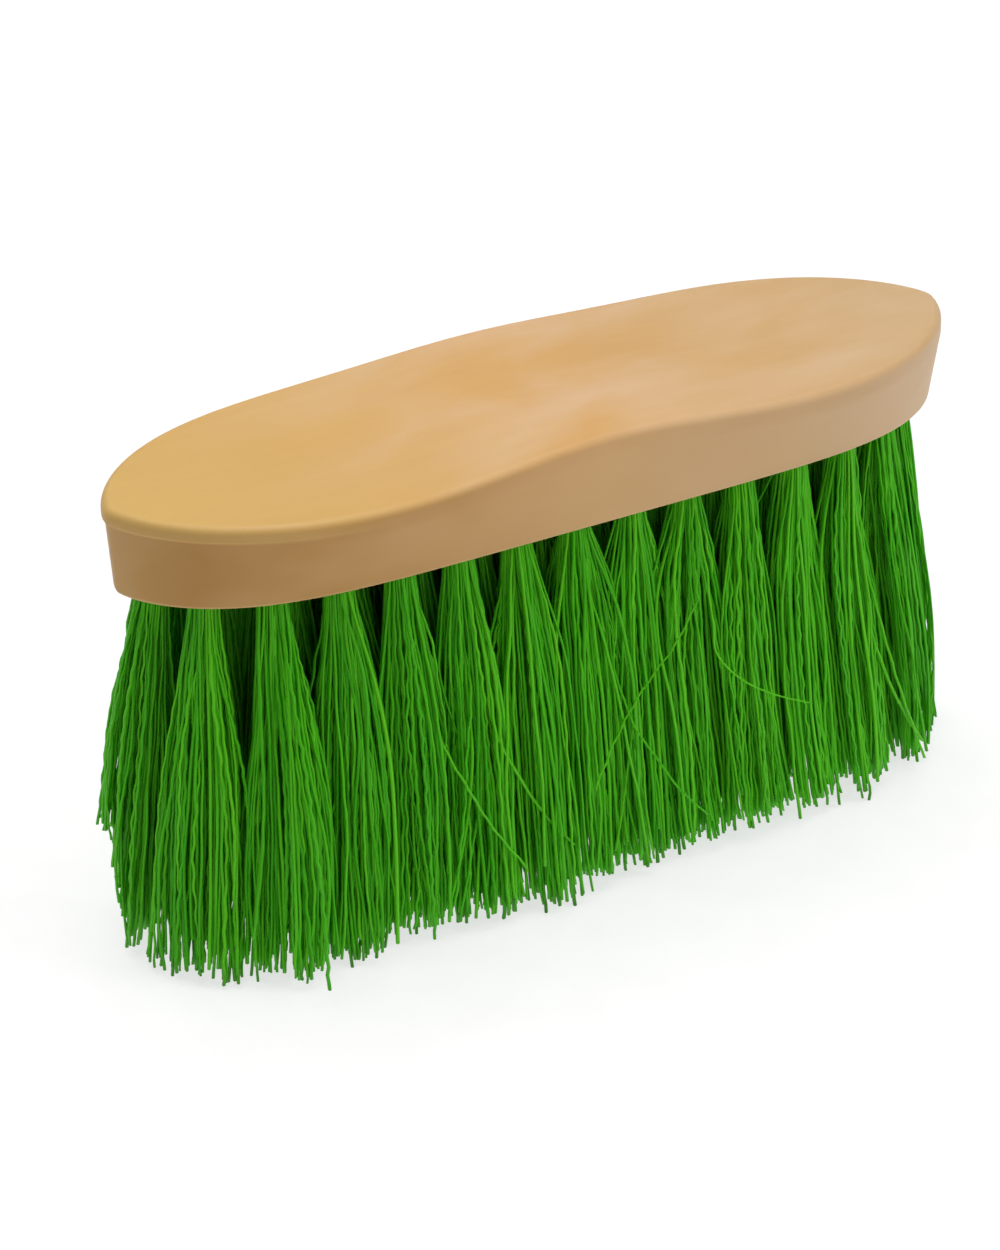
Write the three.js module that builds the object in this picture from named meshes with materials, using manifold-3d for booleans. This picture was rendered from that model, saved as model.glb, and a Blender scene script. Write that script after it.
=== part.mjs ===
// Dandy brush: a one-piece lacquered wooden stock over 59 flared tufts of plastic bristle.
// Millimetres, +Z up, +X along the stock. The brush stands on its bristle tips at z = 0,
// and the origin is in the middle of them.

import * as THREE from 'three';
import { mergeVertices } from 'three/addons/utils/BufferGeometryUtils.js';
import Module from 'manifold-3d';

const wasm = await Module();
wasm.setup();

// ---- driving dimensions ----------------------------------------------------------------

const BRISTLE_LENGTH = 84; // from the underside of the stock to the tips

// Plan outlines of the stock: half width at x is
// (halfWidth - waist * exp(-(x / waistSpread)^2)) * (1 - |x / halfLength|^fullness)^(1 / bluntness)
const TOP_PLAN = {
  halfLength: 103, halfWidth: 35, waist: 4.6, waistSpread: 56, fullness: 3.83, bluntness: 1.45,
};
const BOTTOM_PLAN = {
  halfLength: 101, halfWidth: 25.5, waist: 0, waistSpread: 1, fullness: 5.55, bluntness: 1.45,
};

const END_THICKNESS = 19.9; // of the stock, away from its crown
const CROWN_HEIGHT = 3.1; // extra thickness at mid-length, for the palm
const CROWN_SPREAD = 33.6;
const EDGE_RADIUS = 2; // round-over along the top edge
const BEAD_FACE = 1; // upright band under the round-over
const BEAD_LEDGE = 0.7; // how far the band stands out from the wall, at the -X end
const BEAD_FADED = 55; // the ledge grows from nothing, this far towards -X,
const BEAD_FULL = 95; // to its full width here
const BEAD_DROP = 1; // height of the fillet under it
const ARRIS_RADIUS = 1.2; // broken lower edge

const HOLE_DEPTH = 13;
const HOLE_RADIUS = 3.6;
const ROOT_RADIUS = 3.2; // tuft in its hole
const HOLE_FLOOR_GAP = 0.5; // between a tuft's fold and the bottom of its hole
const NECK_RADIUS = 4.1; // tuft a little below the stock
const NECK_DROP = 6;
const TIP_RADIUS = 6.8; // largest radius of a tuft at the tips
const TIP_GAP = 0.7; // least space between two tufts at the tips
const LENGTH_SPLAY = 1.1; // tip spacing over hole spacing along the stock
const WIDTH_SPLAY = 1.55; // and across it

const END_INSET = 9; // outer ring of tufts, in from the lower edge of the stock at the ends
const SIDE_INSET = 7; // and at the sides
const RING_PITCH_ACROSS = 9.3; // from the outer ring to the inner ring, at the sides
const RING_PITCH_ALONG = 13; // and at the ends
const OUTER_COUNT = 28;
const OUTER_START = -3; // first outer tuft, round its ring from the +X end
const INNER_COUNT = 22;
const CENTRE_COUNT = 9;
const CENTRE_HALF_LENGTH = 60;

const OUTLINE_POINTS = 96;
const CURVE_SAMPLES = 1440;
const TUFT_SIDES = 10;
const HOLE_SIDES = 12;

// ---- closed lofts ----------------------------------------------------------------------

// Closed solid through rings of equal point count, listed upwards, each anticlockwise
// from above. A single point closes each end.
function loft(rings, lowPoint, highPoint) {
  const count = rings[0].length;
  const points = [...rings.flat(), lowPoint, highPoint];
  const low = points.length - 2;
  const high = points.length - 1;
  const last = (rings.length - 1) * count;
  const index = [];
  for (let i = 0; i < count; i += 1) {
    const next = (i + 1) % count;
    index.push(low, next, i);
    index.push(high, last + i, last + next);
    for (let base = 0; base < last; base += count) {
      const above = base + count;
      index.push(base + i, base + next, above + i);
      index.push(base + next, above + next, above + i);
    }
  }
  const geometry = new THREE.BufferGeometry();
  geometry.setAttribute('position', new THREE.Float32BufferAttribute(points.flat(), 3));
  geometry.setIndex(index);
  return geometry;
}

function circleRing(centre, radius, sides) {
  const ring = [];
  for (let i = 0; i < sides; i += 1) {
    const angle = (2 * Math.PI * i) / sides;
    ring.push([centre[0] + radius * Math.cos(angle), centre[1] + radius * Math.sin(angle), centre[2]]);
  }
  return ring;
}

// ---- plan outlines ---------------------------------------------------------------------

function insetPlan(plan, along, across = along) {
  return { ...plan, halfLength: plan.halfLength - along, halfWidth: plan.halfWidth - across };
}

function planPoint(plan, angle) {
  const x = plan.halfLength * Math.cos(angle);
  const side = plan.halfWidth - plan.waist * Math.exp(-((x / plan.waistSpread) ** 2));
  const taper = (1 - Math.abs(Math.cos(angle)) ** plan.fullness) ** (1 / plan.bluntness);
  return [x, Math.sign(Math.sin(angle)) * side * taper];
}

// Points one equal step apart along the whole outline, the first one `start` past its +X end.
function spacedPoints(plan, count, start = 0) {
  const curve = [];
  for (let i = 0; i <= CURVE_SAMPLES; i += 1) {
    curve.push(planPoint(plan, (2 * Math.PI * i) / CURVE_SAMPLES));
  }
  const travelled = [0];
  for (let i = 1; i <= CURVE_SAMPLES; i += 1) {
    const step = Math.hypot(curve[i][0] - curve[i - 1][0], curve[i][1] - curve[i - 1][1]);
    travelled.push(travelled[i - 1] + step);
  }
  const whole = travelled[CURVE_SAMPLES];
  const picked = [];
  for (let n = 0; n < count; n += 1) {
    const goal = (start + (whole * n) / count + whole) % whole;
    const i = Math.max(1, travelled.findIndex((distance) => distance >= goal));
    const share = (goal - travelled[i - 1]) / (travelled[i] - travelled[i - 1]);
    picked.push(curve[i].map((end, axis) => curve[i - 1][axis] + share * (end - curve[i - 1][axis])));
  }
  return picked;
}

// ---- stock -----------------------------------------------------------------------------

// Height of the back above the underside.
function thicknessAt(x) {
  return END_THICKNESS + CROWN_HEIGHT * Math.exp(-((x / CROWN_SPREAD) ** 2));
}

// How far the wall lies in from the top outline at x: a bead at the -X end only.
function ledgeAt(x) {
  return BEAD_LEDGE * THREE.MathUtils.smoothstep(-x, BEAD_FADED, BEAD_FULL);
}

// One ring of the stock: a plan outline at a height above the underside.
function stockRing(plan, heightAt, scale = 1) {
  const ring = [];
  for (let i = 0; i < OUTLINE_POINTS; i += 1) {
    const [x, y] = planPoint(plan, (2 * Math.PI * i) / OUTLINE_POINTS);
    ring.push([x * scale, y * scale, BRISTLE_LENGTH + heightAt(x * scale)]);
  }
  return ring;
}

// The ring where the wall meets the fillet under the bead.
function wallTopRing() {
  const ring = [];
  for (let i = 0; i < OUTLINE_POINTS; i += 1) {
    const angle = (2 * Math.PI * i) / OUTLINE_POINTS;
    const ledge = ledgeAt(planPoint(TOP_PLAN, angle)[0]);
    const [x, y] = planPoint(insetPlan(TOP_PLAN, ledge), angle);
    ring.push([x, y, BRISTLE_LENGTH + thicknessAt(x) - EDGE_RADIUS - BEAD_FACE - BEAD_DROP]);
  }
  return ring;
}

function stockBlank() {
  const rings = [];
  for (const angle of [0, Math.PI / 4, Math.PI / 2]) {
    const inset = ARRIS_RADIUS * (1 - Math.sin(angle));
    const height = ARRIS_RADIUS * (1 - Math.cos(angle));
    rings.push(stockRing(insetPlan(BOTTOM_PLAN, inset), () => height));
  }
  rings.push(wallTopRing());
  rings.push(stockRing(TOP_PLAN, (x) => thicknessAt(x) - EDGE_RADIUS - BEAD_FACE));
  for (const angle of [0, Math.PI / 6, Math.PI / 3, Math.PI / 2]) {
    const inset = EDGE_RADIUS * (1 - Math.cos(angle));
    const height = (x) => thicknessAt(x) - EDGE_RADIUS * (1 - Math.sin(angle));
    rings.push(stockRing(insetPlan(TOP_PLAN, inset), height));
  }
  for (const scale of [0.8, 0.55, 0.3]) {
    rings.push(stockRing(insetPlan(TOP_PLAN, EDGE_RADIUS), thicknessAt, scale));
  }
  return loft(rings, [0, 0, BRISTLE_LENGTH], [0, 0, BRISTLE_LENGTH + thicknessAt(0)]);
}

// ---- tufts -----------------------------------------------------------------------------

// A tuft's centre line at height z: straight from the tip through the mouth of its hole.
function axisAt(root, z) {
  const below = 1 - z / BRISTLE_LENGTH;
  const x = root[0] * (1 + (LENGTH_SPLAY - 1) * below);
  const y = root[1] * (1 + (WIDTH_SPLAY - 1) * below);
  return [x, y, z];
}

function tuftRoots() {
  const outerPlan = insetPlan(BOTTOM_PLAN, END_INSET, SIDE_INSET);
  const innerPlan = insetPlan(outerPlan, RING_PITCH_ALONG, RING_PITCH_ACROSS);
  const roots = [];
  const addRing = (name, points) => {
    points.forEach((point, i) => roots.push({ name, number: i + 1, point }));
  };
  addRing('outer', spacedPoints(outerPlan, OUTER_COUNT, OUTER_START));
  addRing('inner', spacedPoints(innerPlan, INNER_COUNT));
  for (let i = 0; i < CENTRE_COUNT; i += 1) {
    const x = CENTRE_HALF_LENGTH * ((2 * i) / (CENTRE_COUNT - 1) - 1);
    roots.push({ name: 'centre', number: i + 1, point: [x, 0] });
  }
  return roots;
}

// A tuft spreads until it would meet its nearest neighbour.
function tipRadius(root, roots) {
  const [x, y] = axisAt(root.point, 0);
  let nearest = Infinity;
  for (const other of roots) {
    if (other !== root) {
      const [otherX, otherY] = axisAt(other.point, 0);
      nearest = Math.min(nearest, Math.hypot(otherX - x, otherY - y));
    }
  }
  return Math.min(TIP_RADIUS, (nearest - TIP_GAP) / 2);
}

function tuftGeometry(root, roots) {
  const foldHeight = BRISTLE_LENGTH + HOLE_DEPTH - HOLE_FLOOR_GAP;
  const neckHeight = BRISTLE_LENGTH - NECK_DROP;
  const sections = [
    [0, tipRadius(root, roots)],
    [neckHeight, NECK_RADIUS],
    [BRISTLE_LENGTH, ROOT_RADIUS],
    [foldHeight, ROOT_RADIUS],
  ];
  const rings = sections.map(([z, radius]) => circleRing(axisAt(root.point, z), radius, TUFT_SIDES));
  return loft(rings, axisAt(root.point, 0), axisAt(root.point, foldHeight));
}

// The slanted blind hole of a tuft, started below the underside so that it cuts cleanly.
function holeGeometry(root) {
  const heights = [BRISTLE_LENGTH - 1, BRISTLE_LENGTH + HOLE_DEPTH];
  const rings = heights.map((z) => circleRing(axisAt(root.point, z), HOLE_RADIUS, HOLE_SIDES));
  return loft(rings, axisAt(root.point, heights[0]), axisAt(root.point, heights[1]));
}

// ---- solids ----------------------------------------------------------------------------

function toSolid(geometry) {
  const merged = mergeVertices(geometry);
  const vertProperties = new Float32Array(merged.attributes.position.array);
  const triVerts = new Uint32Array(merged.index.array);
  return new wasm.Manifold(new wasm.Mesh({ numProp: 3, vertProperties, triVerts }));
}

function toGeometry(solid) {
  const mesh = solid.getMesh();
  const geometry = new THREE.BufferGeometry();
  geometry.setAttribute('position', new THREE.BufferAttribute(mesh.vertProperties, 3));
  geometry.setIndex(new THREE.BufferAttribute(mesh.triVerts, 1));
  return geometry;
}

function stockGeometry(roots) {
  let solid = toSolid(stockBlank());
  for (const root of roots) {
    solid = solid.subtract(toSolid(holeGeometry(root)));
  }
  return toGeometry(solid);
}

// ---- assembly --------------------------------------------------------------------------

const brush = new THREE.Group();

function addPart(name, geometry, colour, roughness) {
  const finish = new THREE.MeshStandardMaterial({ color: colour, roughness, metalness: 0 });
  const mesh = new THREE.Mesh(geometry, finish);
  mesh.name = name;
  mesh.geometry.computeVertexNormals();
  brush.add(mesh);
}

const roots = tuftRoots();
addPart('stock', stockGeometry(roots), 0xd8ae74, 0.35);
for (const root of roots) {
  const number = String(root.number).padStart(2, '0');
  addPart(`tuft_${root.name}_${number}`, tuftGeometry(root, roots), 0x3f9a1c, 0.45);
}

export default brush;
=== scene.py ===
"""Dandy brush: lacquered wooden stock and crimped plastic filaments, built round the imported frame.

Metres, +Z up, +X along the stock. The brush stands on its bristle tips.
"""
import math

import bpy
import numpy as np
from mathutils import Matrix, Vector


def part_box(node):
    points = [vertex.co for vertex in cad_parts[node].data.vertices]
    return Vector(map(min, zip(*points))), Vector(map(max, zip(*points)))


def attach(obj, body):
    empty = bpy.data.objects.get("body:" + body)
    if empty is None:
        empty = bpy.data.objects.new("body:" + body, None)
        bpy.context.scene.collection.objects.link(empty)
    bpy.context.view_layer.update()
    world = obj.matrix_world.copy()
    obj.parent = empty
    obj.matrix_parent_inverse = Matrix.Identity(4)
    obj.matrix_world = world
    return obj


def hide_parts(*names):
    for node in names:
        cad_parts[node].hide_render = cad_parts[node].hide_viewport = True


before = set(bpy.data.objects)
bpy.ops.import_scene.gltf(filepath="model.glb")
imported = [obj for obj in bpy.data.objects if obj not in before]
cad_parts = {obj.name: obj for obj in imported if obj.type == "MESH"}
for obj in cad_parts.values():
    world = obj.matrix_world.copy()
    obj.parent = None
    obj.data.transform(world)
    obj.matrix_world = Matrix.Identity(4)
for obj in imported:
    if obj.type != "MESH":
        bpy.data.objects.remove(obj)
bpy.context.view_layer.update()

MM = 0.001
FULL_TURN = 2 * math.pi
BODY = "root"
RNG_SEED = 20

# ---- sizes read from the frame ------------------------------------------------------------

stock_low, stock_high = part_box("stock")
UNDERSIDE = stock_low.z
HALF_LENGTH = stock_high.x
STOCK_TOP = stock_high.z

# ---- sizes of the stock, as in the CAD model ----------------------------------------------

CROWN_HEIGHT = 3.1 * MM
CROWN_SPREAD = 33.6 * MM
END_THICKNESS = STOCK_TOP - UNDERSIDE - CROWN_HEIGHT
EDGE_RADIUS = 2.0 * MM
BEAD_FACE = 1.0 * MM
BEAD_LEDGE = 0.7 * MM
BEAD_FADED = 55 * MM  # from the middle towards -X, where the bead begins to stand out
BEAD_FULL = 95 * MM
BEAD_DROP = 1.0 * MM
ARRIS_RADIUS = 1.2 * MM

# waist: how far each side draws in at the middle; fullness, bluntness: powers that round the ends
TOP_PLAN = {"half_length": HALF_LENGTH, "half_width": 35 * MM, "waist": 4.6 * MM,
            "waist_spread": 56 * MM, "fullness": 3.83, "bluntness": 1.45}
BOTTOM_PLAN = {"half_length": HALF_LENGTH - 2 * MM, "half_width": 25.5 * MM, "waist": 0.0,
               "waist_spread": 1.0, "fullness": 5.55, "bluntness": 1.45}

OUTLINE_POINTS = 320
ARRIS_STEPS = 6
WALL_STEPS = 9
LEDGE_STEPS = 4
BEAD_STEPS = 3
EDGE_STEPS = 10
BACK_SCALES = np.linspace(0.97, 0.05, 24)  # of the outline, for the rings across the back
SHARP_ANGLE = math.radians(35)

HOLE_RADIUS = 3.6 * MM
HOLE_DEPTH = 13 * MM
HOLE_SIDES = 24
BREAK_DEPTH = 0.4 * MM  # of the small break round a hole's mouth
CUTTER_STICKS_OUT = 1.0 * MM
CUTTER_WIDENS = 1.4 * MM  # from the break's top to there, which makes the break 45 degrees

# ---- wire anchors -------------------------------------------------------------------------

ANCHOR_HALF_SIZE = np.array([3.1, 0.18, 1.0]) * MM  # across the tuft, through it and along it
ANCHOR_ABOVE_FOLD = 0.1 * MM
ANCHOR_EDGE = 0.08 * MM

# ---- filaments: how many, how thick -------------------------------------------------------

OUTER_TUFT = (124, 50)  # filaments, points along each
INNER_TUFT = (86, 30)
SAME_LEVEL = 0.01 * MM  # points of a plain tuft that are this close in height are at one level
FILAMENT_RADIUS = 0.35 * MM
RADIUS_SHARES = (0.8, 1.25)  # of FILAMENT_RADIUS, one for each filament
FILAMENT_SIDES = 4
PACKED_SHARE = 0.80  # of its width, that a filament keeps where it is packed tight in its hole
SWELL_SHARE = 0.6  # of NECK_LENGTH, over which it comes back to its full width

# ---- filaments: how a tuft opens ----------------------------------------------------------

ROOT_REACH = 3.1 * MM  # of a tuft's outermost filaments from its axis, in the hole
TIP_SPREAD = 2.0 * MM  # how far a tuft's filaments reach into the next tufts at the tips
OUTWARD_SHARE = 0.5  # of the spread, on the side that faces out of the brush
NECK_LENGTH = 25 * MM  # below the stock, over which a tuft opens out
NECK_SHAPE = 1.6  # a higher power opens a tuft later and more suddenly
TUFT_NECKS = (0.8, 1.2)  # shares of NECK_LENGTH, one for each tuft
FILAMENT_NECKS = (0.7, 1.4)  # and one for each filament
LATE_NECK = 0.7  # how much longer the necks are at the -X end
LOCK_COUNT = 16  # locks of filaments that cling together in one tuft
LOCK_PULL = 0.50  # how far a filament is drawn to the middle of its lock
LOCK_SCATTER = 0.10  # of the tip's radius
FILAMENT_SCATTER = 0.17
WILD_SHARE = 0.06  # of the filaments, that end further out than the others
WILD_REACH = (1.2, 1.9)  # times further
WILD_LIMIT = 0.9 * HALF_LENGTH  # no tuft nearer to the ends of the brush has any
UPRIGHT_SHARE = 0.06  # how much less the side tufts lean along the brush than their plain solids

LEANS = ((-85, 14, 8), (-18, 14, 3))  # front tufts pushed outwards: where, spread, how far; mm
LEAN_WAY = np.array([0.3, 1.0])  # shares of a tuft's outward direction that the push keeps
LEAN_OPENS = 0.028  # how much wider a tuft opens for each mm that it is pushed
FLARED_END = -101.5 * MM  # tufts that end beyond this flare out
FLARE = 9.0 * MM
FLARE_SHAPE = 1.5

# ---- filaments: where they are cut --------------------------------------------------------

END_RISE = 1.0 * MM  # of the cut ends above the plain tufts' tips, before what follows
END_SCATTER = 1.6 * MM
LOCK_ENDS = (-0.8, 2.0)  # mm higher, one for each lock
TUFT_ENDS = (-0.5, 1.5)  # mm higher, one for each tuft
LONG_SHARE = 0.12  # of the filaments
LONG_BY = (1.0, 3.5)  # mm
SHORT_SHARE = 0.05
SHORT_BY = (1, 8)  # mm
TRIM = ((-103, 0.0), (20, 1.5), (33, 2.4), (60, 3.2),
        (72, 1.8), (85, -0.6), (103, -1.2))  # place along the brush, how much higher; mm
WORN_WAY = np.array([-0.85, 0.53])  # towards the corner of the bristles that is worn short
WORN_FROM = 86.3 * MM  # that way from the middle
WORN_LENGTH = 3.5 * MM
WORN_RISE = 24 * MM  # of the cut ends past that length

# ---- filaments: strays, waves and crimp ---------------------------------------------------

STRAY_SHARE = 0.030  # of the side tufts' filaments, crossing over the neighbouring tufts
STRAY_REACH = 20 * MM
STRAY_LIMIT = 0.82 * HALF_LENGTH  # no stray ends nearer to the ends of the brush
STRAY_RISE = 0.45  # how much higher a stray ends for each metre that it strays
STRAY_START = (0.1, 0.5)  # share of its free length where it begins to veer
STRAY_BEND = (1.0, 2.2)  # 1 is straight from there on, and more is a curve
STRAY_OUT = 3 * MM  # how far it stands off the other tufts
STRAY_OUT_SOON = 4  # times sooner than it veers
SIDE_TUFTS = 0.75 * HALF_LENGTH  # tufts nearer to the ends of the brush have no strays
LOOSE = {"tuft_outer_24": ((-34, 0.45, 1.0, 28),
                           (20, 0.70, 2.0, 33))}  # reach in mm, start, bend, rise in mm

LOCK_BOW = 1.2 * MM
FILAMENT_BOW = 0.8 * MM
SWAYS = ((0.45 * MM, 0.7, 1.7), (0.09 * MM, 2.5, 5.0))  # height, fewest and most waves
WAVES_GROW = 5  # waves have their full height a fifth of the way down
CRIMP_LENGTH = 6.0 * MM
CRIMP_LENGTHS = (0.75, 1.4)  # shares of CRIMP_LENGTH, one for each filament
CRIMP_HEIGHT = 0.28 * MM
CRIMP_HEIGHTS = (0.1, 1.0)  # square roots of shares of CRIMP_HEIGHT

# ---- camera, stage and light --------------------------------------------------------------

CAMERA_AZIMUTH = math.radians(-31.77)
CAMERA_ELEVATION = math.radians(27.80)
CAMERA_DISTANCE = 1.0283
CAMERA_TARGET = Vector((-9.4 * MM, 0, UNDERSIDE - 32.4 * MM))
LENS = 137.5  # mm
SENSOR_WIDTH = 36  # mm

FLOOR_RADIUS = 6.0
FLOOR_GLOW = 0.70  # keeps the brush's shadow on the white stage faint
GLOW_FROM = 0.6  # the floor brightens from here outwards, into the white backdrop
GLOW_TO = 2.5
BACKDROP_HEIGHT = 8.0
BACKDROP_LEVELS = 12
STAGE_SIDES = 64

LAMP_AIM = Vector((0, 0, 0.06))
LAMPS = (("overhead", (0, 0.3, 2.6), (2.4, 2.4), 80.0),  # name, place, size, power in watts
         ("front_right", (0.78, -0.78, 0.75), (0.7, 0.6), 5.0),
         ("back", (0, 1.1, 0.75), (0.7, 0.6), 1.5),
         ("front_left", (-0.78, -0.78, 0.75), (0.7, 0.6), 0.7))
SKY_STRENGTH = 0.02


# ---- helpers for shapes -------------------------------------------------------------------

def quarter_turn(steps):
    """Angles from nought to a right angle, both included."""
    return [math.pi / 2 * step / steps for step in range(steps + 1)]


def round_angles(count):
    """Even angles round a circle, the first one nought."""
    return np.arange(count) * FULL_TURN / count


def unit(angle):
    """Directions x, y at the given angles."""
    return np.stack([np.cos(angle), np.sin(angle)], -1)


def ring_at(flat, height):
    """A ring's x, y points, raised to a height or to one height each."""
    return np.column_stack([flat, np.broadcast_to(height, len(flat))])


def loft_faces(rings, sides, start=0):
    """Faces of a closed solid whose points are rings of one size, numbered from start upwards."""
    faces = [[start + i for i in range(sides)][::-1]]
    for ring in range(rings - 1):
        low = start + ring * sides
        high = low + sides
        for i in range(sides):
            following = (i + 1) % sides
            faces.append([low + i, low + following, high + following, high + i])
    faces.append([start + (rings - 1) * sides + i for i in range(sides)])
    return faces


def mesh_object(name, points, faces, smooth=True):
    mesh = bpy.data.meshes.new(name)
    mesh.from_pydata([tuple(p) for p in points], [], [tuple(f) for f in faces])
    mesh.validate()
    mesh.update()
    piece = bpy.data.objects.new(name, mesh)
    bpy.context.scene.collection.objects.link(piece)
    if smooth:
        mesh.polygons.foreach_set("use_smooth", [True] * len(mesh.polygons))
    return piece


def quad_mesh(name, points, quads):
    """A smooth mesh of four-sided faces only, from numpy arrays."""
    mesh = bpy.data.meshes.new(name)
    mesh.vertices.add(len(points))
    mesh.vertices.foreach_set("co", np.asarray(points, np.float32).ravel())
    mesh.loops.add(quads.size)
    mesh.loops.foreach_set("vertex_index", quads.astype(np.int32).ravel())
    mesh.polygons.add(len(quads))
    mesh.polygons.foreach_set("loop_start", np.arange(0, quads.size, 4, dtype=np.int32))
    mesh.polygons.foreach_set("use_smooth", np.ones(len(quads), bool))
    mesh.update()
    mesh.validate()
    piece = bpy.data.objects.new(name, mesh)
    bpy.context.scene.collection.objects.link(piece)
    return piece


def apply_modifiers(piece):
    """Replaces the piece's mesh with its evaluated one."""
    graph = bpy.context.evaluated_depsgraph_get()
    mesh = bpy.data.meshes.new_from_object(piece.evaluated_get(graph))
    piece.modifiers.clear()
    old = piece.data
    piece.data = mesh
    bpy.data.meshes.remove(old)


# ---- materials ----------------------------------------------------------------------------

class Nodes:
    """Short names for building one material's node tree."""

    def __init__(self, name):
        self.material = bpy.data.materials.new(name)
        self.material.use_nodes = True
        self.tree = self.material.node_tree
        self.shader = self.tree.nodes["Principled BSDF"]

    def new(self, kind, **settings):
        node = self.tree.nodes.new(kind)
        for key, value in settings.items():
            setattr(node, key, value)
        return node

    def link(self, output, socket):
        self.tree.links.new(output, socket)

    def set(self, values):
        for name, value in values.items():
            self.shader.inputs[name].default_value = value

    def place(self):
        return self.new("ShaderNodeTexCoord").outputs["Object"]

    def coordinates(self, scale, turn=0.0):
        """Places scaled by so many per metre along each axis, after a turn about Z."""
        mapping = self.new("ShaderNodeMapping", vector_type="TEXTURE")
        mapping.inputs["Rotation"].default_value = (0, 0, turn)
        mapping.inputs["Scale"].default_value = [1 / value for value in scale]
        self.link(self.place(), mapping.inputs["Vector"])
        return mapping.outputs["Vector"]

    def noise(self, scale, detail=3, roughness=0.5, distortion=0.0, turn=0.0):
        texture = self.new("ShaderNodeTexNoise")
        texture.inputs["Scale"].default_value = 1
        texture.inputs["Detail"].default_value = detail
        texture.inputs["Roughness"].default_value = roughness
        texture.inputs["Distortion"].default_value = distortion
        self.link(self.coordinates(scale, turn), texture.inputs["Vector"])
        return texture.outputs["Fac"]

    def ramp(self, value, stops):
        node = self.new("ShaderNodeValToRGB")
        elements = node.color_ramp.elements
        while len(elements) < len(stops):
            elements.new(0.5)
        for element, (position, colour) in zip(elements, stops):
            element.position = position
            element.color = (*colour, 1)
        self.link(value, node.inputs["Fac"])
        return node.outputs["Color"]

    def mix(self, factor, first, second):
        """Mixes two colours, by the node's first socket and its two colour sockets."""
        node = self.new("ShaderNodeMix", data_type="RGBA")
        for value, socket in zip((factor, first, second), (node.inputs[i] for i in (0, 6, 7))):
            if isinstance(value, bpy.types.NodeSocket):
                self.link(value, socket)
            else:
                socket.default_value = (*value, 1)
        return node.outputs[2]

    def range(self, value, low, high, to_low=0.0, to_high=1.0):
        node = self.new("ShaderNodeMapRange")
        node.inputs["From Min"].default_value = low
        node.inputs["From Max"].default_value = high
        node.inputs["To Min"].default_value = to_low
        node.inputs["To Max"].default_value = to_high
        self.link(value, node.inputs["Value"])
        return node.outputs["Result"]

    def product(self, first, second):
        node = self.new("ShaderNodeMath", operation="MULTIPLY")
        self.link(first, node.inputs[0])
        self.link(second, node.inputs[1])
        return node.outputs[0]

    def part_of(self, vector, axis):
        split = self.new("ShaderNodeSeparateXYZ")
        self.link(vector, split.inputs["Vector"])
        return split.outputs[axis]

    def axis(self, name):
        return self.part_of(self.place(), name)

    def facing(self, name):
        return self.part_of(self.new("ShaderNodeNewGeometry").outputs["True Normal"], name)

    def bump(self, height, strength, distance):
        node = self.new("ShaderNodeBump")
        node.inputs["Strength"].default_value = strength
        node.inputs["Distance"].default_value = distance
        self.link(height, node.inputs["Height"])
        self.link(node.outputs["Normal"], self.shader.inputs["Normal"])


def grey(value):
    return (value, value, value)


def back_colour_and_reflection(n, along):
    """The stock's back: pale flame over orange, with brown streaks and flecks along the grain. It
    turns paler and pinker towards +X, a painted reflection of the white surroundings.
    """
    # yellower at -X, paler and pinker towards +X: a painted reflection at the +X end
    body = n.ramp(along, [(0.0, (0.610, 0.385, 0.115)), (0.45, (0.615, 0.350, 0.124)),
                          (1.0, (0.545, 0.362, 0.185))])
    pale = n.ramp(along, [(0.0, (0.62, 0.40, 0.15)), (0.5, (0.645, 0.420, 0.235)),
                          (1.0, (0.575, 0.400, 0.230))])
    flame = n.noise((22, 46, 46), distortion=0.35, turn=0.25)
    flame_share = n.product(n.range(flame, 0.36, 0.66), n.range(along, 0.10, 0.45, 0.10, 1.0))
    flamed = n.mix(flame_share, body, pale)
    streaks = n.noise((18, 260, 260), detail=5, roughness=0.6, distortion=0.4)
    streaked = n.mix(n.range(streaks, 0.40, 0.75, 0.0, 0.11), flamed, (0.47, 0.24, 0.07))
    flecks = n.noise((320, 2400, 2400), detail=1)
    return n.mix(n.range(flecks, 0.66, 0.78, 0.0, 0.12), streaked, (0.40, 0.20, 0.07))


def wall_shade_and_reflection(n, along):
    """The stock's wall: darker brown near the -X end, a painted shade, lighter again at the very tip,
    and paler towards +X, a painted reflection; in soft patches.
    """
    # painted shade: darker towards -X; painted reflection: paler towards +X
    wall = n.ramp(along, [(0.0, (0.500, 0.280, 0.088)), (0.06, (0.420, 0.202, 0.044)),
                          (0.22, (0.452, 0.227, 0.060)), (0.50, (0.622, 0.360, 0.147)),
                          (0.78, (0.580, 0.373, 0.196)), (1.0, (0.645, 0.460, 0.295))])
    patches = n.noise((34, 60, 60), detail=2)
    return n.mix(n.range(patches, 0.35, 0.65, 0.0, 0.22), wall, (0.70, 0.46, 0.24))


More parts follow.
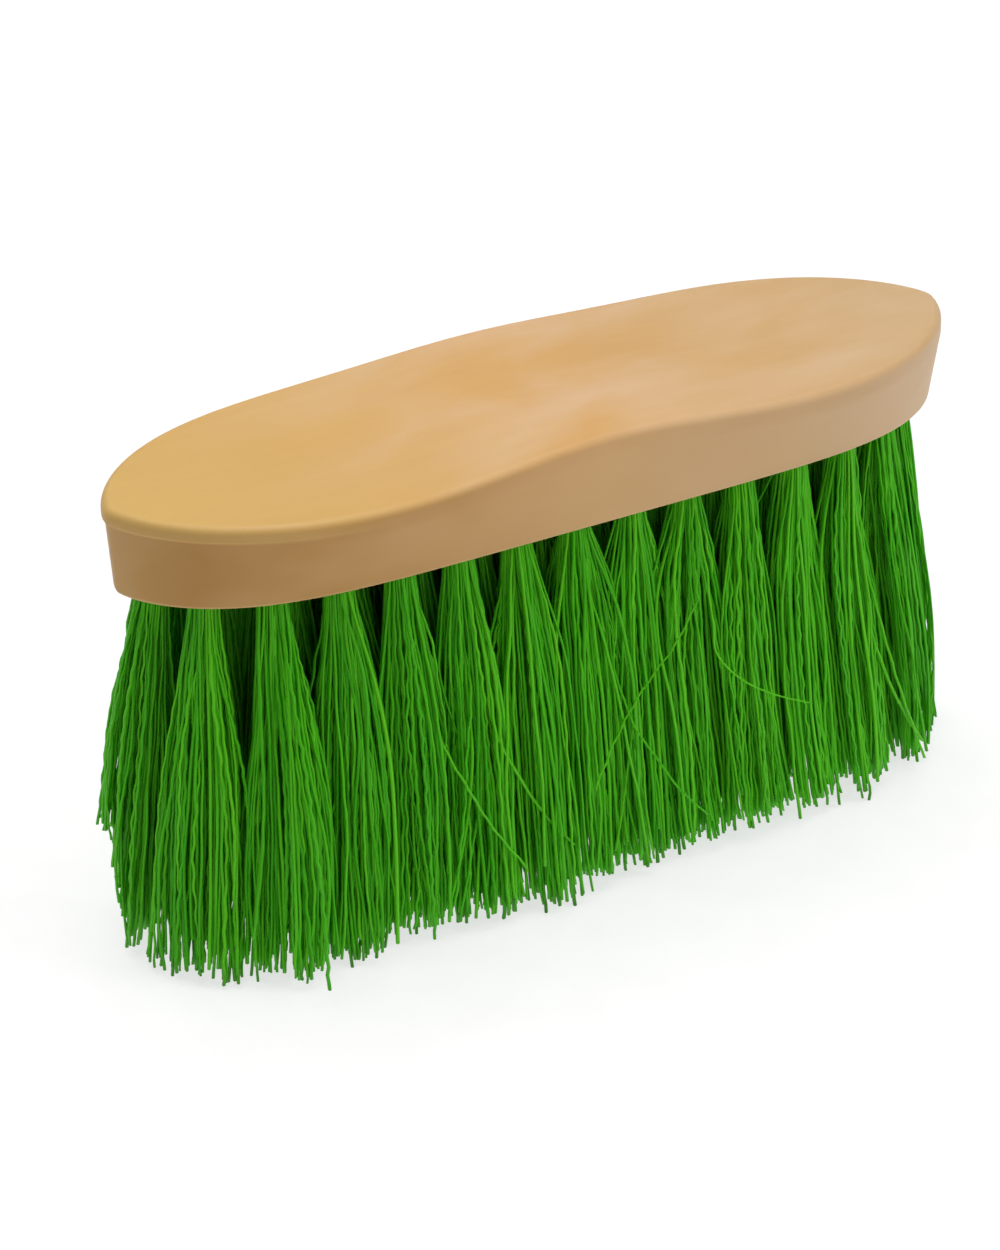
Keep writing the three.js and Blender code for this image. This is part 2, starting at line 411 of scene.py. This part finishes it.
def wood_material():
    """Beech under satin lacquer. Faces turned sideways take the wall colour, with its painted shade
    towards -X and painted reflection towards +X. The bead keeps more of the back's colour than the
    wall does, so it gets less of that painted shade.
    """
    n = Nodes("lacquered_beech")
    along = n.range(n.axis("X"), -HALF_LENGTH, HALF_LENGTH)
    band_low = STOCK_TOP - CROWN_HEIGHT - EDGE_RADIUS - BEAD_FACE
    # the bead band at the -X end takes less of the wall's painted shade
    below_band = n.range(n.axis("Z"), band_low, band_low - BEAD_DROP, 0.3, 1.0)
    banded = n.mix(n.range(along, 0.14, 0.26), below_band, grey(1.0))
    # faces turned sideways get the wall's painted shade and reflection
    wall_shade_share = n.product(n.range(n.facing("Z"), 0.75, 0.25, 0.0, 0.82), banded)
    covered = n.mix(wall_shade_share, back_colour_and_reflection(n, along), wall_shade_and_reflection(n, along))
    # paler just above the underside: a painted highlight on the lower arris, partly its paler wood
    lower_edge_highlight = n.range(n.axis("Z"), UNDERSIDE + 1.0 * MM, UNDERSIDE + 0.3 * MM, 0.0, 0.35)
    finished = n.mix(lower_edge_highlight, covered, (0.74, 0.53, 0.32))
    n.link(finished, n.shader.inputs["Base Color"])
    n.link(n.range(n.noise((60, 90, 90)), 0.3, 0.7, 0.50, 0.62), n.shader.inputs["Roughness"])
    n.set({"Specular IOR Level": 0.3, "Coat Weight": 0.05, "Coat Roughness": 0.22})
    n.bump(n.noise((40, 700, 700), detail=4), strength=0.10, distance=0.2 * MM)
    return n.material


def filament_material():
    """Bright green plastic. Each filament has its own shade of green, and the lowest few millimetres
    are darker, a painted shade at the tips.
    """
    n = Nodes("green_filament")
    island = n.new("ShaderNodeNewGeometry").outputs["Random Per Island"]
    shades = n.ramp(island, [(0.0, (0.042, 0.40, 0.002)), (0.5, (0.066, 0.50, 0.003)),
                             (1.0, (0.125, 0.61, 0.008))])
    mottle = n.range(n.noise((110, 110, 16), detail=2), 0.35, 0.65, 0.0, 0.5)
    mottled = n.mix(mottle, shades, (0.100, 0.59, 0.006))
    # painted shade: darker and greyer over the lowest millimetres, near the floor
    tip_shade = n.range(n.axis("Z"), 6 * MM, 1 * MM, 0.0, 0.65)
    n.link(n.mix(tip_shade, mottled, (0.040, 0.16, 0.010)), n.shader.inputs["Base Color"])
    n.link(n.range(n.noise((500, 500, 60)), 0.3, 0.7, 0.42, 0.54), n.shader.inputs["Roughness"])
    n.set({"Specular IOR Level": 0.22})
    return n.material


def steel_material():
    n = Nodes("anchor_steel")
    drawn = n.noise((900, 900, 90), detail=2)
    n.link(n.ramp(drawn, [(0.3, grey(0.45)), (0.7, grey(0.62))]), n.shader.inputs["Base Color"])
    n.set({"Metallic": 1, "Roughness": 0.35})
    return n.material


def floor_material():
    n = Nodes("pale_floor")
    speckle = n.noise((90, 90, 90), detail=2)
    n.link(n.ramp(speckle, [(0.3, grey(0.30)), (0.7, grey(0.31))]), n.shader.inputs["Base Color"])
    n.link(n.ramp(speckle, [(0.3, grey(0.98)), (0.7, grey(1.0))]), n.shader.inputs["Emission Color"])
    radius = n.new("ShaderNodeVectorMath", operation="LENGTH")
    n.link(n.place(), radius.inputs[0])
    glow = n.range(radius.outputs["Value"], GLOW_FROM, GLOW_TO, FLOOR_GLOW, 1.0)
    n.link(glow, n.shader.inputs["Emission Strength"])
    n.set({"Roughness": 0.9})
    return n.material


def backdrop_material():
    n = Nodes("white_backdrop")
    cloud = n.noise((0.5, 0.5, 0.5), detail=1)
    n.link(n.ramp(cloud, [(0.3, grey(0.99)), (0.7, grey(1.0))]), n.shader.inputs["Emission Color"])
    n.set({"Base Color": (0, 0, 0, 1), "Specular IOR Level": 0, "Emission Strength": 1.0})
    return n.material


# ---- stock --------------------------------------------------------------------------------

def plan_points(plan, inset, scale=1.0):
    """The stock's plan outline as an array of x, y, drawn in by inset and shrunk by scale."""
    angle = round_angles(OUTLINE_POINTS)
    x = (plan["half_length"] - inset) * np.cos(angle)
    side = plan["half_width"] - inset - plan["waist"] * np.exp(-((x / plan["waist_spread"]) ** 2))
    taper = (1 - np.abs(np.cos(angle)) ** plan["fullness"]) ** (1 / plan["bluntness"])
    return np.stack([x, np.sign(np.sin(angle)) * side * taper], 1) * scale


def back_height(x):
    """Height of the stock's back at x."""
    return UNDERSIDE + END_THICKNESS + CROWN_HEIGHT * np.exp(-((x / CROWN_SPREAD) ** 2))


def ledge_at(x):
    """How far the wall lies in from the top outline at x: a bead at the -X end only."""
    grown = np.clip((-x - BEAD_FADED) / (BEAD_FULL - BEAD_FADED), 0, 1)
    return BEAD_LEDGE * grown * grown * (3 - 2 * grown)


def stock_rings():
    """Rings of points from the underside, up the wall, over the bead and in across the back."""
    rings = []
    for angle in quarter_turn(ARRIS_STEPS):
        flat = plan_points(BOTTOM_PLAN, ARRIS_RADIUS * (1 - math.sin(angle)))
        rings.append(ring_at(flat, UNDERSIDE + ARRIS_RADIUS * (1 - math.cos(angle))))
    top = plan_points(TOP_PLAN, 0)
    ledge = ledge_at(top[:, 0])
    wall_top = plan_points(TOP_PLAN, ledge)
    band_low = EDGE_RADIUS + BEAD_FACE
    low = rings[-1]
    high = ring_at(wall_top, back_height(wall_top[:, 0]) - band_low - BEAD_DROP)
    for step in range(1, WALL_STEPS + 1):
        rings.append(low + (high - low) * step / WALL_STEPS)
    for angle in quarter_turn(LEDGE_STEPS)[1:-1]:
        flat = plan_points(TOP_PLAN, ledge * math.cos(angle))
        height = back_height(flat[:, 0]) - band_low - BEAD_DROP * (1 - math.sin(angle))
        rings.append(ring_at(flat, height))
    for step in range(BEAD_STEPS):
        rings.append(ring_at(top, back_height(top[:, 0]) - band_low + BEAD_FACE * step / BEAD_STEPS))
    for angle in quarter_turn(EDGE_STEPS):
        flat = plan_points(TOP_PLAN, EDGE_RADIUS * (1 - math.cos(angle)))
        rings.append(ring_at(flat, back_height(flat[:, 0]) - EDGE_RADIUS * (1 - math.sin(angle))))
    for scale in BACK_SCALES:
        flat = plan_points(TOP_PLAN, EDGE_RADIUS, scale)
        rings.append(ring_at(flat, back_height(flat[:, 0])))
    return rings


def hole_cutters(tufts):
    """All the slanted tuft holes as one mesh, each with a small break round its mouth."""
    profile = ((-CUTTER_STICKS_OUT, HOLE_RADIUS + CUTTER_WIDENS), (BREAK_DEPTH, HOLE_RADIUS),
               (HOLE_DEPTH, HOLE_RADIUS))
    circle = unit(round_angles(HOLE_SIDES))
    rings, faces = [], []
    for tuft in tufts:
        faces += loft_faces(len(profile), HOLE_SIDES, start=len(rings) * HOLE_SIDES)
        for rise, radius in profile:
            middle = tuft.axis_at(UNDERSIDE + rise)
            rings.append(ring_at(middle[:2] + radius * circle, UNDERSIDE + rise))
    return mesh_object("hole_cutters", np.vstack(rings), faces, smooth=False)


def make_stock(tufts):
    rings = stock_rings()
    piece = mesh_object("wooden_stock", np.vstack(rings), loft_faces(len(rings), OUTLINE_POINTS))
    cutters = hole_cutters(tufts)
    cut = piece.modifiers.new("holes", "BOOLEAN")
    cut.operation = "DIFFERENCE"
    cut.solver = "EXACT"
    cut.object = cutters
    apply_modifiers(piece)
    bpy.data.objects.remove(cutters)
    piece.data.materials.clear()
    piece.data.materials.append(wood_material())
    piece.data.set_sharp_from_angle(angle=SHARP_ANGLE)
    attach(piece, BODY)
    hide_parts("stock")


# ---- tufts --------------------------------------------------------------------------------

class Tuft:
    """One tuft's axis and size, read from its CAD solid, and the points along its filaments."""

    def __init__(self, node):
        points = np.array([vertex.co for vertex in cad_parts[node].data.vertices])
        heights = points[:, 2]
        tip_rim = points[heights < heights.min() + SAME_LEVEL]
        self.node = node
        self.fold = points[heights > heights.max() - SAME_LEVEL].mean(0)
        self.tip = tip_rim.mean(0)
        self.tip_radius = np.linalg.norm(tip_rim - self.tip, axis=1).max()
        outward = self.tip[:2] - self.fold[:2]
        self.outward = outward / max(np.linalg.norm(outward), 1 * MM)
        self.count, steps = OUTER_TUFT if "outer" in node else INNER_TUFT
        mouth = (self.fold[2] - UNDERSIDE) / (self.fold[2] - self.tip[2])
        self.along = np.concatenate([[0, mouth / 2], np.linspace(mouth, 1, steps - 2)])
        self.below = np.clip((self.along - mouth) / (1 - mouth), 0, 1)  # share of the free length

    def axis_at(self, height):
        rise = height - self.tip[2]
        return self.tip + (self.fold - self.tip) * rise / (self.fold[2] - self.tip[2])

    def heights(self, end):
        """The heights of the points along a filament, or along each, from the fold to its end."""
        return self.fold[2] + (end - self.fold[2]) * self.along


def fold_places(count, rng):
    """Even places over a unit disc, along a spiral that turns by the golden angle."""
    order = np.arange(count)
    turn = order * math.pi * (3 - math.sqrt(5)) + rng.uniform(0, FULL_TURN)
    return np.sqrt((order + 0.5) / count)[:, None] * unit(turn)


def tip_places(tuft, disc, seeds, lock, rng):
    """Where each filament of a tuft ends, from the tuft's axis."""
    tip, outward = tuft.tip, tuft.outward
    places = disc + LOCK_PULL * (seeds[lock] - disc) + rng.normal(0, FILAMENT_SCATTER, disc.shape)
    places += rng.normal(0, LOCK_SCATTER, seeds.shape)[lock]
    wild = rng.random(tuft.count) < WILD_SHARE * (abs(tip[0]) < WILD_LIMIT)
    places[wild] *= rng.uniform(*WILD_REACH, (wild.sum(), 1))
    outer_part = np.clip(places @ outward, 0, None)[:, None] * outward
    offset = (tuft.tip_radius + TIP_SPREAD) * (places - (1 - OUTWARD_SHARE) * outer_part)
    if tip[1] < -ROOT_REACH:
        for place, width, reach in LEANS:
            share = math.exp(-(((tip[0] / MM - place) / width) ** 2))
            opened = offset * (1 + LEAN_OPENS * reach * share)
            offset = opened + outward * LEAN_WAY * reach * MM * share
    offset[:, 0] -= UPRIGHT_SHARE * tip[0] * (1 - (tip[0] / HALF_LENGTH) ** 2)
    return offset


def stray_reaches(tuft, offset, rng):
    """How far along the brush each filament strays, which is nought for nearly all of them."""
    straight = offset[:, 0]
    chosen = rng.random(tuft.count) < STRAY_SHARE * (abs(tuft.tip[0]) < SIDE_TUFTS)
    pull = rng.uniform(-1, 1, tuft.count)
    goal = tuft.tip[0] + straight + STRAY_REACH * pull * np.abs(pull)
    reach = np.clip(goal, -STRAY_LIMIT, STRAY_LIMIT) - tuft.tip[0] - straight
    return np.where(chosen, reach, 0)


def tip_heights(tuft, offset, lock, rng):
    """The height of each filament's cut end."""
    tip, count = tuft.tip, tuft.count
    end = tip[2] + np.abs(rng.normal(0, END_SCATTER, count)) + END_RISE
    end += rng.uniform(*LOCK_ENDS, LOCK_COUNT)[lock] * MM + rng.uniform(*TUFT_ENDS) * MM
    places, rises = zip(*TRIM)
    end += np.interp(tip[0] / MM, places, rises) * MM
    long = rng.random(count) < LONG_SHARE
    end[long] -= rng.uniform(*LONG_BY, long.sum()) * MM
    short = rng.random(count) < SHORT_SHARE
    end[short] += rng.uniform(*SHORT_BY, short.sum()) * MM
    towards_corner = (tip[:2] + offset) @ WORN_WAY
    end += WORN_RISE * np.clip((towards_corner - WORN_FROM) / WORN_LENGTH, 0, 1)
    return np.maximum(end, tip[2])


def opened_paths(tuft, disc, offset, end, rng):
    """Filaments that lie close together in the hole and open out over a neck below the stock."""
    fold, tip, below = tuft.fold, tuft.tip, tuft.below
    neck = NECK_LENGTH * rng.uniform(*TUFT_NECKS) * rng.uniform(*FILAMENT_NECKS, tuft.count)
    neck *= 1 + LATE_NECK * np.clip(-tip[0] / HALF_LENGTH, 0, 1)
    spread = 1 - np.exp(-((below[None] * (UNDERSIDE - tip[2]) / neck[:, None]) ** NECK_SHAPE))
    axis = fold + (tip - fold) * tuft.along[:, None]
    paths = np.repeat(axis[None], tuft.count, 0)
    paths[..., :2] += ROOT_REACH * disc[:, None] * (1 - spread)[..., None]
    paths[..., :2] += offset[:, None] * spread[..., None]
    paths[..., 2] = tuft.heights(end[:, None])
    if tip[0] < FLARED_END:
        paths[..., 0] -= FLARE * below ** FLARE_SHAPE
    return paths


def veer_strays(tuft, paths, disc, stray, rng):
    """Bends the strays along the brush, and with them the loose strands at the tuft's front."""
    start = rng.uniform(*STRAY_START, tuft.count)[:, None]
    bend = rng.uniform(*STRAY_BEND, tuft.count)[:, None]
    for front, strand in zip(np.argsort(disc[:, 1]), LOOSE.get(tuft.node, ())):
        reach, start[front], bend[front], rise = strand
        stray[front] = reach * MM
        paths[front, :, 2] = tuft.heights(tuft.tip[2] + rise * MM)
    veer = np.clip((tuft.below[None] - start) / (1 - start), 0, 1) ** bend
    astray = (stray != 0)[:, None]
    paths[..., 0] += stray[:, None] * veer
    paths[..., 1] += STRAY_OUT * astray * tuft.outward[1] * np.minimum(veer * STRAY_OUT_SOON, 1)


def wave_filaments(tuft, paths, lock, rng):
    """Bows the locks and their filaments, and gives each filament long waves and a fine crimp."""
    count, below = tuft.count, tuft.below
    bow = rng.normal(0, LOCK_BOW, (LOCK_COUNT, 2))[lock] + rng.normal(0, FILAMENT_BOW, (count, 2))
    paths[..., :2] += bow[:, None] * (np.sin(math.pi * below) * below)[None, :, None]
    grown = np.clip(below * WAVES_GROW, 0, 1)
    for height, fewest, most in SWAYS:
        sway = rng.normal(0, height, (count, 2))
        waves = rng.uniform(fewest, most, count)[:, None]
        phase = rng.uniform(0, FULL_TURN, count)[:, None]
        wave = np.sin(FULL_TURN * waves * below[None] + phase) * grown
        paths[..., :2] += sway[:, None] * wave[..., None]
    pitch = CRIMP_LENGTH * rng.uniform(*CRIMP_LENGTHS, count)[:, None]
    phase = rng.uniform(0, FULL_TURN, count)[:, None]
    plane = rng.uniform(0, FULL_TURN, count)[:, None]
    crimp = np.sin(FULL_TURN * (tuft.fold[2] - paths[..., 2]) / pitch + phase) * grown
    crimp *= CRIMP_HEIGHT * rng.uniform(*CRIMP_HEIGHTS, count)[:, None] ** 2
    paths[..., :2] += crimp[..., None] * unit(plane)


def filament_paths(tuft, rng):
    """Centre lines of one tuft's filaments, as an array of filaments x points x 3."""
    disc = fold_places(tuft.count, rng)
    seeds = disc[rng.choice(tuft.count, LOCK_COUNT, replace=False)]
    lock = np.argmin(np.linalg.norm(disc[:, None] - seeds[None], axis=2), 1)
    offset = tip_places(tuft, disc, seeds, lock, rng)
    stray = stray_reaches(tuft, offset, rng)
    end = tip_heights(tuft, offset, lock, rng) + STRAY_RISE * np.abs(stray)
    paths = opened_paths(tuft, disc, offset, end, rng)
    veer_strays(tuft, paths, disc, stray, rng)
    wave_filaments(tuft, paths, lock, rng)
    return paths


def filament_mesh(name, paths, rng):
    """Sweeps a small section along every path; each end is closed by one quad."""
    count, steps, _ = paths.shape
    sides = FILAMENT_SIDES
    section = unit(round_angles(sides)[None] + rng.uniform(0, FULL_TURN, count)[:, None])
    radius = FILAMENT_RADIUS * rng.uniform(*RADIUS_SHARES, count)
    swell = np.clip((UNDERSIDE - paths[..., 2]) / (SWELL_SHARE * NECK_LENGTH), 0, 1)
    swell = PACKED_SHARE + (1 - PACKED_SHARE) * swell
    points = np.repeat(paths[:, :, None], sides, 2)
    points[..., :2] += section[:, None] * (radius[:, None] * swell)[..., None, None]
    index = np.arange(count * steps * sides).reshape(count, steps, sides)
    following = np.roll(index, -1, 2)
    walls = np.stack([index[:, :-1], index[:, 1:], following[:, 1:], following[:, :-1]], -1)
    ends = np.concatenate([index[:, 0], index[:, -1, ::-1]])
    quads = np.concatenate([walls.reshape(-1, 4), ends])
    return quad_mesh(name, points.reshape(-1, 3), quads)


def make_tufts(tufts):
    rng = np.random.default_rng(RNG_SEED)
    green = filament_material()
    for tuft in tufts:
        name = tuft.node.replace("tuft", "filaments")
        piece = filament_mesh(name, filament_paths(tuft, rng), rng)
        piece.data.materials.append(green)
        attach(piece, BODY)
        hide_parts(tuft.node)


def make_anchors(tufts):
    """The flat wire driven across each tuft's fold at the bottom of its hole, as one piece."""
    half_width, half_thickness, half_height = ANCHOR_HALF_SIZE
    points, faces = [], []
    for tuft in tufts:
        lean = (tuft.fold - tuft.tip) / np.linalg.norm(tuft.fold - tuft.tip)
        middle = tuft.fold + lean * (-half_height + ANCHOR_ABOVE_FOLD)
        faces += loft_faces(2, 4, start=len(points))
        for z in (-half_height, half_height):
            for x, y in ((-1, -1), (1, -1), (1, 1), (-1, 1)):
                points.append(middle + np.array([x * half_width, y * half_thickness, 0]) + lean * z)
    piece = mesh_object("wire_anchors", points, faces, smooth=False)
    bevel = piece.modifiers.new("edges", "BEVEL")
    bevel.width = ANCHOR_EDGE
    bevel.segments = 2
    apply_modifiers(piece)
    piece.data.materials.append(steel_material())
    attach(piece, BODY)


# ---- camera, stage and light --------------------------------------------------------------

def make_camera():
    flat = math.cos(CAMERA_ELEVATION)
    back = Vector((math.sin(CAMERA_AZIMUTH) * flat, -math.cos(CAMERA_AZIMUTH) * flat,
                   math.sin(CAMERA_ELEVATION)))
    data = bpy.data.cameras.new("camera")
    data.sensor_width = SENSOR_WIDTH
    data.lens = LENS
    camera = bpy.data.objects.new("camera", data)
    camera.location = CAMERA_TARGET + back * CAMERA_DISTANCE
    camera.rotation_mode = "QUATERNION"
    camera.rotation_quaternion = (-back).to_track_quat("-Z", "Y")
    bpy.context.scene.collection.objects.link(camera)
    bpy.context.scene.camera = camera


def make_stage():
    """A round floor, and over it a white dome that only the camera sees, so that it lights nothing."""
    rim = unit(round_angles(STAGE_SIDES)) * FLOOR_RADIUS
    floor = mesh_object("floor", ring_at(rim, 0), [range(STAGE_SIDES)], smooth=False)
    floor.data.materials.append(floor_material())
    rings = [ring_at(rim * math.cos(angle), BACKDROP_HEIGHT * math.sin(angle))
             for angle in quarter_turn(BACKDROP_LEVELS)[:-1]]
    walls_and_top = loft_faces(len(rings), STAGE_SIDES)[1:]
    backdrop = mesh_object("backdrop", np.vstack(rings), [face[::-1] for face in walls_and_top])
    backdrop.data.materials.append(backdrop_material())
    backdrop.visible_diffuse = False
    backdrop.visible_glossy = False
    backdrop.visible_transmission = False
    backdrop.visible_shadow = False


def make_lights():
    for name, place, size, power in LAMPS:
        data = bpy.data.lights.new(name, "AREA")
        data.shape = "RECTANGLE"
        data.size, data.size_y = size
        data.energy = power
        lamp = bpy.data.objects.new(name, data)
        lamp.location = place
        lamp.rotation_mode = "QUATERNION"
        lamp.rotation_quaternion = (LAMP_AIM - Vector(place)).to_track_quat("-Z", "Y")
        bpy.context.scene.collection.objects.link(lamp)
    world = bpy.data.worlds.new("studio")
    world.use_nodes = True
    sky = world.node_tree.nodes["Background"]
    sky.inputs["Color"].default_value = (1, 1, 1, 1)
    sky.inputs["Strength"].default_value = SKY_STRENGTH
    bpy.context.scene.world = world
    bpy.context.scene.view_settings.view_transform = "Standard"


# ---- build --------------------------------------------------------------------------------

make_camera()
tufts = [Tuft(node) for node in sorted(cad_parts) if node.startswith("tuft")]
make_stock(tufts)
make_anchors(tufts)
make_tufts(tufts)
make_stage()
make_lights()
